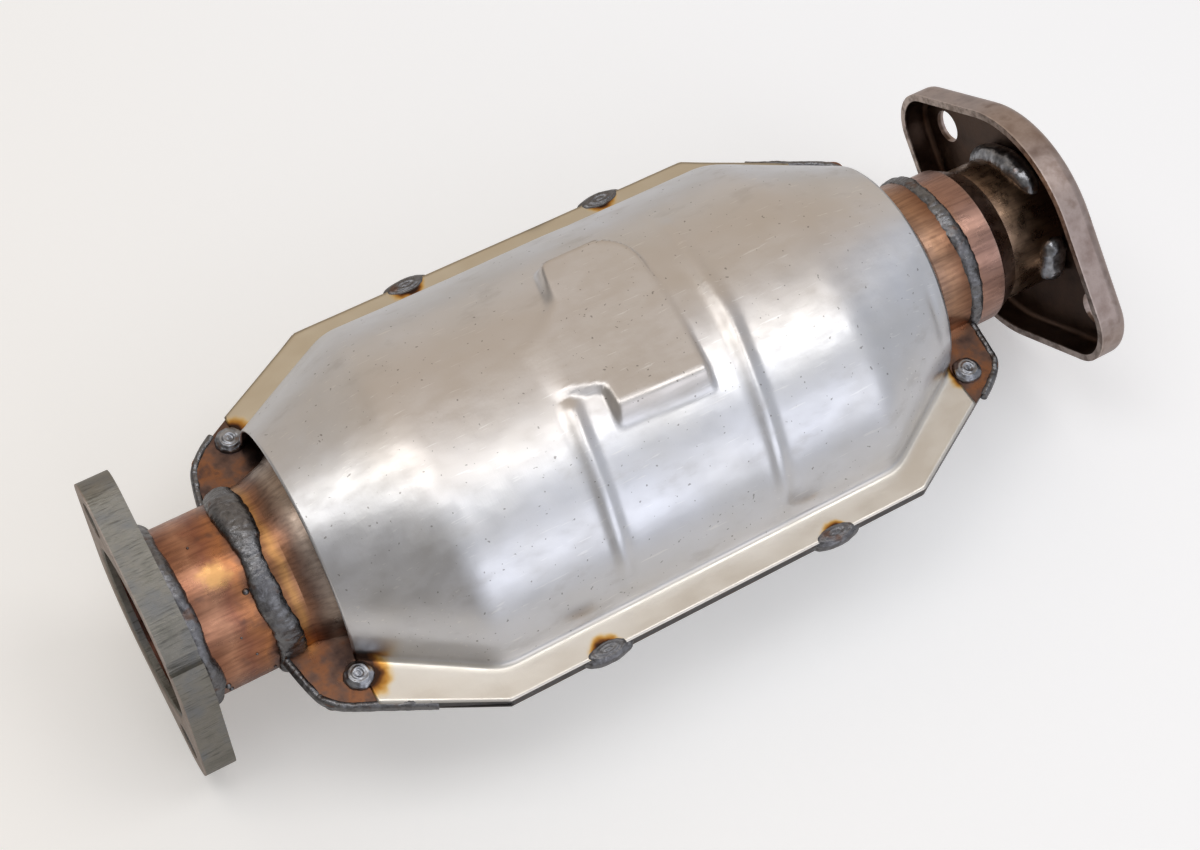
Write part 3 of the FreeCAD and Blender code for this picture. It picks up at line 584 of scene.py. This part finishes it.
# What handling did: wide and small dents, as (size, depth), and one wrinkle at the rear.
DENTS = [(38, 0.35), (9, 0.07)]
WRINKLE_X, WRINKLE_Y = 243, -30
WRINKLE_LENGTH, WRINKLE_WIDTH, WRINKLE_DEPTH = 5, 1.6, 0.5


def shield_dents(x, y):
    """How far the dents and the wrinkle lift or sink the sheet."""
    dents = sum(depth * rough_at((x, y, 7.0), size, 2) for size, depth in DENTS)
    across, along = (x - WRINKLE_X) / WRINKLE_WIDTH, (y - WRINKLE_Y) / WRINKLE_LENGTH
    return dents - WRINKLE_DEPTH * math.exp(-across ** 2 - along ** 2)


def dome_point(x, turn):
    """A point on the shield's outside; turn runs from 0 at the right fold to pi at the left."""
    half, rise = creased(x, DOME_WIDTHS), creased(x, DOME_HEIGHTS)
    y, z = -half * math.cos(turn), rise * math.sin(turn)
    outward = Vector((0, y / half ** 2, z / rise ** 2)).normalized()
    plan = y + creased(x, DOME_SHIFTS)
    lift = (bead_rise(x, plan, FRONT_BEAD, *FRONT_BEAD_ENDS)
            + bead_rise(x, plan, REAR_BEAD, *REAR_BEAD_ENDS)) * soft_step(z, 2, 9)
    lift += shield_dents(x, plan) * soft_step(z, 1, 8)
    point = Vector((x, plan, SHIELD_BASE + z)) + outward * lift
    pad_top = PAD_LEVEL - PAD_BOW * abs(plan) / 28
    point.z += pad_share(x, plan) * max(pad_top - point.z, 0.0)
    return point


def shield_point(x, side, part, share):
    """A point of the cross-section: side is -1 or 1, and share goes along the part."""
    if part == "dome":
        return dome_point(x, share)
    edge = between(x, FLANGE_EDGES)
    fold_y = creased(x, DOME_WIDTHS) + side * creased(x, DOME_SHIFTS) + FOLD_RADIUS
    if part == "flange":
        y = edge + (fold_y - edge) * share
        wave = 0.12 * rough_at((x, side * y, 3), 16, 2) * (1 - share)
        return Vector((x, side * y, SHIELD_BASE + wave))
    turn = share * math.pi / 2
    return Vector((x, side * (fold_y - FOLD_RADIUS * math.sin(turn)),
                   SHIELD_BASE + FOLD_RADIUS * (1 - math.cos(turn))))


def shield_sheet():
    """The upper shield's outside: a grid bent to its cross-section at every step of X."""
    low = math.asin(FOLD_RADIUS / 40.0)
    arc = math.pi - 2 * low
    rim = [("flange", i / FLANGE_STEPS) for i in range(FLANGE_STEPS + 1)]
    rim += [("fold", i / FOLD_STEPS) for i in range(1, FOLD_STEPS)]
    across = [(-1, *place) for place in rim]
    across += [(0, "dome", low + arc * i / DOME_STEPS) for i in range(DOME_STEPS + 1)]
    across += [(1, *place) for place in reversed(rim)]
    rows = len(across) - 1
    bm = bmesh.new()
    bmesh.ops.create_grid(bm, x_segments=LENGTH_STEPS, y_segments=rows, size=0.5)
    for vert in bm.verts:
        along = vert.co.x + 0.5
        x = SHIELD_START + (SHIELD_END - SHIELD_START) * along
        point = shield_point(x, *across[round((vert.co.y + 0.5) * rows)])
        point.x += END_SLANT * point.y / 51 * (1 - along) ** 4
        vert.co = point * MM
    bmesh.ops.recalc_face_normals(bm, faces=bm.faces)
    return bm


# The welds that hold the shields, each as (x, y, heat): plugs at the lugs, above and
# below, and tacks on the long edges, whose heat came in from the edge itself.
PLUGS = {("inlet", "right"): (46.6, -41.7, 1.0), ("inlet", "left"): (48.0, 44.3, 0.9),
         ("outlet", "right"): (252.4, -41.0, 0.8), ("outlet", "left"): (251.8, 42.0, 0.8)}
TACKS = {("right", "front"): (110.4, -69.0, 0.62), ("right", "rear"): (186.4, -69.0, 0.5),
         ("left", "front"): (118.6, 69.0, 0.68), ("left", "rear"): (187.6, 69.0, 0.62)}


def heat_from(tree, spots):
    """The least distance in mm to any weld, each scaled by how hot it ran."""
    place = add(tree, "TexCoord", output="Object")
    plan = add(tree, "VectorMath", place, (1, 1, 0), operation="MULTIPLY")
    least = None
    for x, y, heat in spots:
        away = add(tree, "VectorMath", plan, (x * MM, y * MM, 0), operation="DISTANCE")
        away = add(tree, "Math", away, 1 / (heat * MM), operation="MULTIPLY")
        least = add(tree, "Math", least, away, operation="MINIMUM") if least else away
    ragged = add(tree, "Math", grain(tree, 5, detail=2), 0.5, operation="SUBTRACT")
    ragged = add(tree, "Math", ragged, 5.0, operation="MULTIPLY")
    return add(tree, "Math", least, ragged, operation="ADD")


# Bright stainless with a satin mill finish: clouded soft reflections, a painted warm reflection
# of the room on the crest and the flanges, straw to brown halos round the welds, and painted
# shade along the sheets' edges.
# Scratches and specks are really finer, and are drawn coarser so that they show.
shield_steel, tree = new_material("satin_bright_stainless")
clouds = grain(tree, 28, detail=3)
smears = grain(tree, 6, stretch=(0.5, 1, 1), detail=5)
scratches = grain(tree, 0.8, stretch=(0.08, 1, 0.6), detail=2)
cross_marks = grain(tree, 0.7, stretch=(1, 0.1, 0.5), detail=2)
colour = add(tree, "ValToRGB", clouds, stops=[(0.3, "DAD8D6"), (0.7, "E4E4E7")])
colour = add(tree, "Mix", add(tree, "MapRange", smears, 0.55, 0.75, 0, 0.30), colour, "B9B4AE")
# The warm beige on the crest and pad is a painted reflection of the warm room behind.
crest_reflection = add(tree, "MapRange", place_along(tree, "Z"), 38 * MM, 44 * MM, 0, 0.5)
colour = add(tree, "Mix", crest_reflection, colour, "D3C7BA")
specks = add(tree, "MapRange", grain(tree, 1.3, detail=1), 0.73, 0.77, 0, 0.6)
colour = add(tree, "Mix", specks, colour, "6F6860")
nicks = add(tree, "MapRange", scratches, 0.66, 0.72, 0, 0.5)
colour = add(tree, "Mix", nicks, colour, "F4F2EF")
level = add(tree, "Math", place_along(tree, "Z"), operation="ABSOLUTE")
on_flange = add(tree, "MapRange", level, 3.0 * MM, 2.2 * MM)
# The cream near flange and the tan far flange are painted reflections of the room.
on_left = add(tree, "MapRange", place_along(tree, "Y"), -5 * MM, 5 * MM)
flange_reflection = add(tree, "Mix", on_left, "E0D9CE", "D4C8B2")
colour = add(tree, "Mix", on_flange, colour, flange_reflection)
heat = heat_from(tree, [*PLUGS.values(), *TACKS.values()])
heat = add(tree, "MapRange", heat, 5.5, 10.5, interpolation_type="LINEAR")
halo = add(tree, "ValToRGB", heat, stops=[
    (0.0, "3D2C24"), (0.18, "7A4E2C"), (0.36, "C08A42"), (0.60, "DDBB7C"), (1.0, "E4D9C4")])
near_flange = add(tree, "MapRange", level, 6.5 * MM, 3.2 * MM)
in_halo = add(tree, "Math", add(tree, "MapRange", heat, 1.0, 0.45), near_flange,
              operation="MULTIPLY")
colour = add(tree, "Mix", in_halo, colour, halo)
# Dark grey along the shields' edges is painted shade.
on_shield_edge_shade = add(tree, "MapRange", level, 1.74 * MM, 1.60 * MM)
colour = add(tree, "Mix", on_shield_edge_shade, colour, "4A4745")
rough = add(tree, "MapRange", smears, 0.3, 0.7, 0.30, 0.42)
finish(tree, colour, rough, [(clouds, 0.2), (scratches, 0.012), (cross_marks, 0.008),
                             (grain(tree, 2.2), 0.02)])

for level, up in (("upper", 1), ("lower", -1)):
    bm = shield_sheet()
    bmesh.ops.scale(bm, vec=(1, 1, up), verts=bm.verts)
    bmesh.ops.recalc_face_normals(bm, faces=bm.faces)
    bmesh.ops.solidify(bm, geom=bm.faces[:], thickness=SHIELD_SHEET * MM)
    bmesh.ops.recalc_face_normals(bm, faces=bm.faces)
    make_object(bm, f"{level}_heat_shield", shield_steel,
                replaced=[f"{level}_heat_shield"])

# ---------------------------------------------------------------------------
# Plug and edge welds: puddles that hold the shields to the lugs and to the side
# flanges. Each has a raised rim of frozen ripples and a small crater.
# ---------------------------------------------------------------------------

PLUG_RADIUS, PLUG_HEIGHT = 4.5, 2.6
TACK_Y = 68.6
TACK_RADII = 8.2, 3.3, 2.7
FRILL, FRILLS = 0.008, 11
RIM_RIPPLE, RIM_RIPPLES = 0.05, 22
CRATER_X, CRATER_Y, CRATER_SPREAD = 0.15, -0.1, 0.10


def puddle(name, material, centre, radii, seed, crater):
    """A lens of frozen weld metal on a flange; centre and radii are along X, Y and Z."""
    bm = bmesh.new()
    bmesh.ops.create_icosphere(bm, subdivisions=5, radius=1.0)
    for vert in bm.verts:
        p = vert.co
        ring = math.hypot(p.x, p.y)
        bulge = 1.0 + 0.05 * rough_at((p.x + seed, p.y, p.z), 0.6)
        frill = math.sin(FRILLS * math.atan2(p.y, p.x) + seed) * soft_step(ring, 0.5, 0.9)
        spread = bulge + FRILL * frill
        from_crater = (p.x - CRATER_X) ** 2 + (p.y - CRATER_Y) ** 2
        dip = crater * math.exp(-from_crater / CRATER_SPREAD) if p.z > 0 else 0
        top = p.z * (1 - dip) + RIM_RIPPLE * math.sin(ring * RIM_RIPPLES) * max(p.z, 0)
        vert.co = Vector((centre[0] + p.x * radii[0] * spread,
                          centre[1] + p.y * radii[1] * spread,
                          centre[2] + top * radii[2] * bulge)) * MM
    bm.normal_update()
    bmesh.ops.recalc_face_normals(bm, faces=bm.faces)
    return make_object(bm, name, material, replaced=[name])


for level, up in (("upper", 1), ("lower", -1)):
    for (end, side), (x, y, _) in PLUGS.items():
        puddle(f"{level}_{end}_{side}_plug_weld", bright_weld, (x, y, up * SHELL_SHEET),
               (PLUG_RADIUS, PLUG_RADIUS, up * PLUG_HEIGHT), seed=x + y, crater=0.35)
for (side, end), (x, y, _) in TACKS.items():
    puddle(f"{side}_{end}_edge_weld", weld_metal, (x, math.copysign(TACK_Y, y), 0.0),
           TACK_RADII, seed=x, crater=0.12)

# ---------------------------------------------------------------------------
# Floor, light and camera: a pale table top under two soft boxes overhead and a large
# one in front.
# ---------------------------------------------------------------------------

FLOOR_SIZE = 6
FLOOR_GAP = 0.4
FLOOR_LIFT = 0.28

# Matt white board, with a painted warm light towards the left. The camera sees it a little
# brighter than it is, and the part doesn't.
table_top, tree = new_material("matt_white_table")
rightward = add(tree, "MapRange", place_along(tree, "X"), -0.25, 0.35)
colour = add(tree, "Mix", rightward, "EFEBE4", "F3F3F3")
seen = add(tree, "Math", add(tree, "LightPath", output="Is Camera Ray"), FLOOR_LIFT,
           operation="MULTIPLY")
matt = add(tree, "BsdfDiffuse", colour)
lift = add(tree, "Emission", colour, seen)
add(tree, "OutputMaterial", add(tree, "AddShader", matt, lift))

bm = bmesh.new()
bmesh.ops.create_grid(bm, x_segments=1, y_segments=1, size=FLOOR_SIZE)
bmesh.ops.translate(bm, verts=bm.verts, vec=(0, 0, cad_low.z - FLOOR_GAP * MM))
floor_mesh = bpy.data.meshes.new("table")
bm.to_mesh(floor_mesh)
bm.free()
floor_mesh.materials.append(table_top)
floor = bpy.data.objects.new("table", floor_mesh)
bpy.context.scene.collection.objects.link(floor)

MIDDLE = Vector((152, 0, 0)) * MM


def soft_box(name, direction, distance, size, glow, tint="FFFFFF"):
    """An area lamp aimed at the part; glow is the brightness of its face."""
    lamp = bpy.data.lights.new(name, "AREA")
    lamp.shape = "RECTANGLE"
    lamp.size, lamp.size_y = size
    lamp.energy = glow * math.pi * size[0] * size[1]
    lamp.color = hex_colour(tint)[:3]
    holder = bpy.data.objects.new(name, lamp)
    aim = Vector(direction).normalized()
    holder.location = MIDDLE + aim * distance
    holder.rotation_mode = "QUATERNION"
    holder.rotation_quaternion = aim.to_track_quat("Z", "Y")
    bpy.context.scene.collection.objects.link(holder)


soft_box("box_left", (-0.24, 0.10, 0.96), 1.2, (0.55, 0.8), 1.9)
soft_box("box_right", (0.36, -0.16, 0.93), 1.2, (0.45, 0.5), 2.2)
soft_box("box_front", (0.20, -0.85, 0.50), 1.5, (1.3, 0.8), 0.85, "F1F4FF")

# The room: cool in front, warm behind and darker at the left. The camera sees plain white.
world = bpy.data.worlds.new("studio")
bpy.context.scene.world = world
world.use_nodes = True
tree = world.node_tree
tree.nodes.clear()
direction = add(tree, "TexCoord", output="Generated")
behind = add(tree, "MapRange", add(tree, "SeparateXYZ", direction, output="Y"), 0.05, 0.45)
leftward = add(tree, "MapRange", add(tree, "SeparateXYZ", direction, output="X"), -0.08, -0.60)
walls = add(tree, "Mix", behind, "BEC1C8", "CBC0B4")
walls = add(tree, "Mix", leftward, walls, "8E8B88")
colour = add(tree, "Mix", add(tree, "LightPath", output="Is Camera Ray"), walls, "F0F0F0")
add(tree, "OutputWorld", add(tree, "Background", colour, 1.0))

EYE = Vector((-43.1, -292.0, 555.0)) * MM
RIGHT = Vector((0.86359, -0.50316, 0.03235))
DOWN = Vector((-0.41289, -0.74257, -0.52736))
AHEAD = Vector((0.28937, 0.44207, -0.84903))
camera = bpy.data.cameras.new("camera")
camera.sensor_width = 36.0
camera.lens = 66.07
camera.clip_start, camera.clip_end = 0.01, 100
viewer = bpy.data.objects.new("camera", camera)
axes = Matrix((RIGHT, -DOWN, -AHEAD)).transposed()
viewer.matrix_world = Matrix.Translation(EYE) @ axes.to_4x4()
bpy.context.scene.collection.objects.link(viewer)
bpy.context.scene.camera = viewer
bpy.context.scene.view_settings.view_transform = "Standard"
